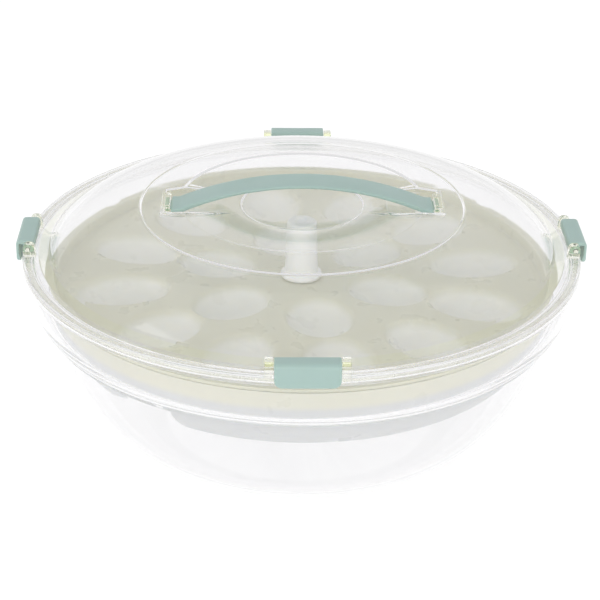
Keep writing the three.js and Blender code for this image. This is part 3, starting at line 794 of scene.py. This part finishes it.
def rod_along_y(name, x, z, radius, half, soft=0.0):
    """A round rod along Y, whose ends are softened."""
    rings = []
    for y, shrink in ((-half, soft), (-half + soft, 0.0), (half - soft, 0.0), (half, soft)):
        ring = []
        for k in range(32):
            a = math.tau * k / 32
            r = radius - shrink
            ring.append((x + r * math.cos(a), y, z + r * math.sin(a)))
        rings.append(ring)
    return lofted(name, rings)


def trough(wall):
    """The space under one end of the strap, or with a wall the outside of its trough."""
    inner = STRAP_HALF - STRAP_FOOT - SEAT_LEAD
    outer = HANDLE_LUG_X + HANDLE_LUG_THICKNESS + SINK - LID_WALL + wall
    half = STRAP_WIDTH / 2 + RUN_GAP + wall / 2
    floor = SEAT_FLOOR - wall
    top = LID_Z + CROWN_RISE
    rings = []
    for i in range(9):
        share = i / 8
        spread = share * (SEAT_SPREAD + 1.5 * wall)
        ramp = share * (SEAT_RAMP + wall)
        z = floor + (top - floor) * share
        radius = 1.0 + 5 * share
        corners = (
            (inner - wall - ramp, -half - spread, radius),
            (outer, -half - spread, 0.8),
            (outer, half + spread, 0.8),
            (inner - wall - ramp, half + spread, radius),
        )
        rings.append([(x, y, z) for x, y in rounded(corners)])
    return lofted("trough", rings)


def under_dome():
    """Everything under the dome's upper face."""
    return turned("under_dome", rounded([(0, LID_Z, 0), (DOME_FOOT_R, LID_Z, 0), *dome_side(0)]))


def add_handle_seat(lid, turn):
    """Adds the trough and the slotted lug that hold one end of the strap."""
    outer = HANDLE_LUG_X + HANDLE_LUG_THICKNESS
    half = STRAP_WIDTH / 2 + RUN_GAP
    slot_z = SEAT_FLOOR + REST_GAP + STRAP_FOOT_THICKNESS / 2
    slot_half = TONGUE_THICKNESS / 2 + REST_GAP
    slot_width = TONGUE_WIDTH / 2 + REST_GAP
    outside = combine(trough(LID_WALL), under_dome(), "INTERSECT")
    combine(lid, spun(outside, turn), "UNION")
    combine(lid, spun(trough(0), turn), "DIFFERENCE")
    low = (HANDLE_LUG_X, -half - REST_GAP, SEAT_FLOOR - SINK)
    lug = rounded_box("lug", low, (outer, half + REST_GAP, HANDLE_LUG_TOP), 1.0)
    combine(lid, spun(lug, turn), "UNION")
    slot = rounded_box(
        "slot",
        (HANDLE_LUG_X - SINK, -slot_width, slot_z - slot_half),
        (STRAP_HALF + TONGUE_LENGTH + REST_GAP, slot_width, slot_z + slot_half),
        0.3,
    )
    combine(lid, spun(slot, turn), "DIFFERENCE")


def tint_lugs(lid):
    """Puts the tinted material, the lid's second, on the lugs of the latches and the handle."""
    for face in lid.data.polygons:
        middle = face.center / MM
        over_land = math.hypot(middle.x, middle.y) > DOME_FOOT_R + 2 and middle.z > LID_Z + 0.4
        across = abs(middle.y) < STRAP_WIDTH / 2 + 1
        along = -0.2 < abs(middle.x) - HANDLE_LUG_X < HANDLE_LUG_THICKNESS + 0.4
        at_handle = across and along and middle.z > SEAT_FLOOR + 0.05
        if over_land or at_handle:
            face.material_index = 1


def lid():
    made = lid_shell()
    for turn in (0, 180):
        add_handle_seat(made, turn)
    for index in range(len(LATCH_SIDES)):
        for side in (1, -1):
            lug = latch_lug(side)
            combine(lug, rod_along_y("bore", AXIS_R, AXIS_Z, PIN_BORE, PIN_HALF + 2), "DIFFERENCE")
            combine(made, spun(lug, 90 * index), "UNION")
    shade(made)
    return made


def lid_seal():
    low, high = SEAL_LOW.z, SEAL_HIGH.z
    inner = PLUG_R + REST_GAP
    outer = SEAL_HIGH.x
    return turned("fine_lid_seal", rounded([
        (inner, low, 0.5),
        (outer, low, 0.5),
        (outer, high, 0.5),
        (inner, high, 0.5),
    ]))


# ---- Handle ----
def strap_arch(x, end, top):
    """Height along the strap of its upper or lower side: an arc that stands on the two flat feet."""
    half = STRAP_HALF - STRAP_FOOT / 2
    rise = top - end
    radius = (half * half + rise * rise) / (2 * rise)
    if abs(x) > half:
        return end
    return top - radius + math.sqrt(radius * radius - x * x)


def strap_section(half_width, thickness, crown):
    """The strap's cross-section as (across, drop) points, with a slightly crowned top."""
    edge = min(1.0, thickness * 0.4)
    top = [(half_width * t, crown * t * t, 0) for t in (-0.8, -0.5, -0.2, 0.2, 0.5, 0.8)]
    return rounded([
        (-half_width, crown, edge),
        *top,
        (half_width, crown, edge),
        (half_width, thickness, edge),
        (-half_width, thickness, edge),
    ])


def handle_strap():
    rings = []
    soft = 0.8
    stops = [(-STRAP_HALF, soft), (-STRAP_HALF + soft * 0.3, soft * 0.3)]
    inner = STRAP_HALF - soft
    stops += [(-inner + 2 * inner * i / STRAP_STEPS, 0.0) for i in range(STRAP_STEPS + 1)]
    stops += [(STRAP_HALF - soft * 0.3, soft * 0.3), (STRAP_HALF, soft)]
    foot = STRAP_END_Z - STRAP_FOOT_THICKNESS
    for x, inset in stops:
        top = strap_arch(x, STRAP_END_Z, STRAP_TOP)
        thickness = top - strap_arch(x, foot, STRAP_TOP - STRAP_THICKNESS)
        section = strap_section(STRAP_WIDTH / 2 - inset, thickness - 2 * inset, STRAP_CROWN)
        rings.append([(x, y, top - inset - drop) for y, drop in section])
    strap = lofted("fine_handle_strap", rings)
    z = (STRAP_END_Z + foot) / 2
    for turn in (0, 180):
        low = (STRAP_HALF - STRAP_FOOT / 2, -TONGUE_WIDTH / 2, z - TONGUE_THICKNESS / 2)
        high = (STRAP_HALF + TONGUE_LENGTH, TONGUE_WIDTH / 2, z + TONGUE_THICKNESS / 2)
        combine(strap, spun(rounded_box("tongue", low, high, 0.5), turn), "UNION")
    shade(strap)
    return strap


# ---- Latches and pins ----
def latch_corners(bottom, inset):
    """The latch's section at +X, as (radius, height) corners, drawn in by an inset."""
    back = RIM_R + LATCH_REACH + inset
    catch = back - CATCH_DEPTH
    front = LATCH_HIGH.x - inset
    top = LATCH_HIGH.z - inset
    knuckle = LATCH_HIGH.z - AXIS_Z - inset
    roof = LATCH_HIGH.z - LATCH_ROOF + inset
    return [
        (catch, bottom + inset, 0.3),
        (front, bottom + inset, 0.9),
        (front, top, 2.6),
        (AXIS_R - knuckle, top, 2.4),
        (AXIS_R - knuckle, AXIS_Z - knuckle, 2.4),
        (AXIS_R + knuckle, AXIS_Z - knuckle, 2.4),
        (AXIS_R + knuckle, roof, 0.5),
        (back, roof, 0.5),
        (back, bottom + inset + CATCH_HEIGHTS[1], 0.3),
        (catch, bottom + inset + CATCH_HEIGHTS[0], 0.2),
    ]


def latch(name, index):
    soft = 0.7
    stations = [LATCH_HALF - LATCH_CORNER * (1 - math.cos(math.pi / 2 * i / 10)) for i in range(11)]
    stations += [LATCH_HALF - soft * s for s in (0.1, 0.3, 0.6)]
    stations = sorted(set(stations + [0.0, 5.0, 10.0]))
    rings = []
    for y in [-s for s in stations[:0:-1]] + stations:
        past = max(0.0, abs(y) - (LATCH_HALF - LATCH_CORNER))
        rise = LATCH_CORNER - math.sqrt(max(LATCH_CORNER * LATCH_CORNER - past * past, 0.0))
        edge = max(0.0, abs(y) - (LATCH_HALF - soft))
        inset = soft - math.sqrt(max(soft * soft - edge * edge, 0.0))
        section = rounded(latch_corners(LATCH_LOW.z + rise, inset))
        rings.append([(x, y, z) for x, z in section])
    made = lofted(f"fine_latch_{name}", rings)
    combine(made, rod_along_y("bore", AXIS_R, AXIS_Z, PIN_BORE, LATCH_HALF + 2), "DIFFERENCE")
    shade(made)
    return spun(made, 90 * index)


def pin(name, index):
    return spun(rod_along_y(f"fine_pin_{name}", AXIS_R, AXIS_Z, PIN_R, PIN_HALF, 0.3), 90 * index)


# ---- Assembly ----
finish_piece(bowl(), "bowl", "bowl", "clear_plastic", CLEAR)
finish_piece(divided_tray(), "divided_tray", "divided_tray", "white_plastic", WHITE)
finish_piece(egg_tray(), "egg_tray", "egg_tray", "cream_plastic", CREAM)
finish_piece(lift_post(), "lift_post", "egg_tray", "post_plastic", POST)
tint_lugs(finish_piece(lid(), "lid", "lid", "clear_plastic", CLEAR, TINTED))
finish_piece(lid_seal(), "lid_seal", "lid", "seal_rubber", SEAL)
finish_piece(handle_strap(), "handle_strap", "lid", "teal_plastic", TEAL)
for index, side in enumerate(LATCH_SIDES):
    finish_piece(latch(side, index), f"latch_{side}", f"latch_{side}", "teal_plastic", TEAL)
    finish_piece(pin(side, index), f"pin_{side}", "lid", "pin_plastic", TINTED)


# ---- Stage ----
def floor():
    """A white table that glows a little, so that shadows on it stay faint."""
    size = 6000
    points = [(-size, -size, 0), (size, -size, 0), (size, size, 0), (-size, size, 0)]
    made = make_object("floor", points, [(0, 1, 2, 3)])
    material, tree, shader = new_material("floor")
    colour = mixed_colour(tree, noise(tree, 3), (0.26, 0.26, 0.26), (0.29, 0.29, 0.29))
    tree.links.new(colour, shader.inputs["Base Color"])
    shader.inputs["Roughness"].default_value = 0.9
    shader.inputs["Emission Color"].default_value = (1, 1, 1, 1)
    shader.inputs["Emission Strength"].default_value = 0.8
    made.data.materials.append(material)


def area_light(name, place, target, size, power):
    data = bpy.data.lights.new(name, "AREA")
    data.shape = "RECTANGLE"
    data.size, data.size_y = size
    data.energy = power
    lamp = bpy.data.objects.new(name, data)
    lamp.location = place
    lamp.rotation_euler = (Vector(target) - Vector(place)).to_track_quat("-Z", "Y").to_euler()
    bpy.context.scene.collection.objects.link(lamp)


def sky():
    """A white room whose ceiling is a little darker than its walls."""
    world = bpy.data.worlds.new("studio")
    world.use_nodes = True
    tree = world.node_tree
    place = tree.nodes.new("ShaderNodeTexCoord")
    split = add(tree, "ShaderNodeSeparateXYZ", Vector=place.outputs["Generated"])
    ramp = tree.nodes.new("ShaderNodeValToRGB")
    ramp.color_ramp.elements[0].position = 0.0
    ramp.color_ramp.elements[0].color = (1.0, 1.0, 1.0, 1)
    ramp.color_ramp.elements[1].position = 0.8
    ramp.color_ramp.elements[1].color = (0.86, 0.86, 0.87, 1)
    tree.links.new(split.outputs["Z"], ramp.inputs["Fac"])
    tree.links.new(ramp.outputs["Color"], tree.nodes["Background"].inputs["Color"])
    tree.nodes["Background"].inputs["Strength"].default_value = 0.88
    bpy.context.scene.world = world


def camera():
    """Looks at the lid's edge plane from 25 degrees above, with the object a little high in view."""
    rim_radii_away = 6.508
    distance = rim_radii_away * RIM_R * MM
    elevation = math.radians(24.9)
    azimuth = math.radians(-1.44)
    roll = math.radians(0.77)
    centre = Vector((0, 0, LID_Z * MM))
    back = Vector((
        math.sin(azimuth) * math.cos(elevation),
        -math.cos(azimuth) * math.cos(elevation),
        math.sin(elevation),
    ))
    right = Vector((math.cos(azimuth), math.sin(azimuth), 0))
    up = back.cross(right)
    aim_drop, aim_left = 0.0369, 0.0006
    place = centre + back * distance
    target = centre - up * aim_drop - right * aim_left
    data = bpy.data.cameras.new("camera")
    data.lens = 108.1
    data.sensor_width = 36
    data.clip_start = 0.05
    made = bpy.data.objects.new("camera", data)
    made.location = place
    turn = (target - place).to_track_quat("-Z", "Y") @ Quaternion((0, 0, 1), roll)
    made.rotation_euler = turn.to_euler()
    bpy.context.scene.collection.objects.link(made)
    bpy.context.scene.camera = made


floor()
sky()
area_light("overhead", (0.0, 0.1, 1.9), (0, 0, 0.1), (2.2, 2.2), 3)
area_light("window", (-1.6, -0.7, 1.3), (0, 0, 0.1), (1.2, 1.0), 4)
area_light("front", (0.2, -1.7, 0.45), (0, 0, 0.1), (1.6, 0.7), 6)
camera()
bpy.context.scene.view_settings.view_transform = "Standard"
# clear walls stand behind clear walls, so light needs many bounces
cycles = bpy.context.scene.cycles
cycles.max_bounces = 24
cycles.glossy_bounces = 16
cycles.transmission_bounces = 24
cycles.transparent_max_bounces = 32
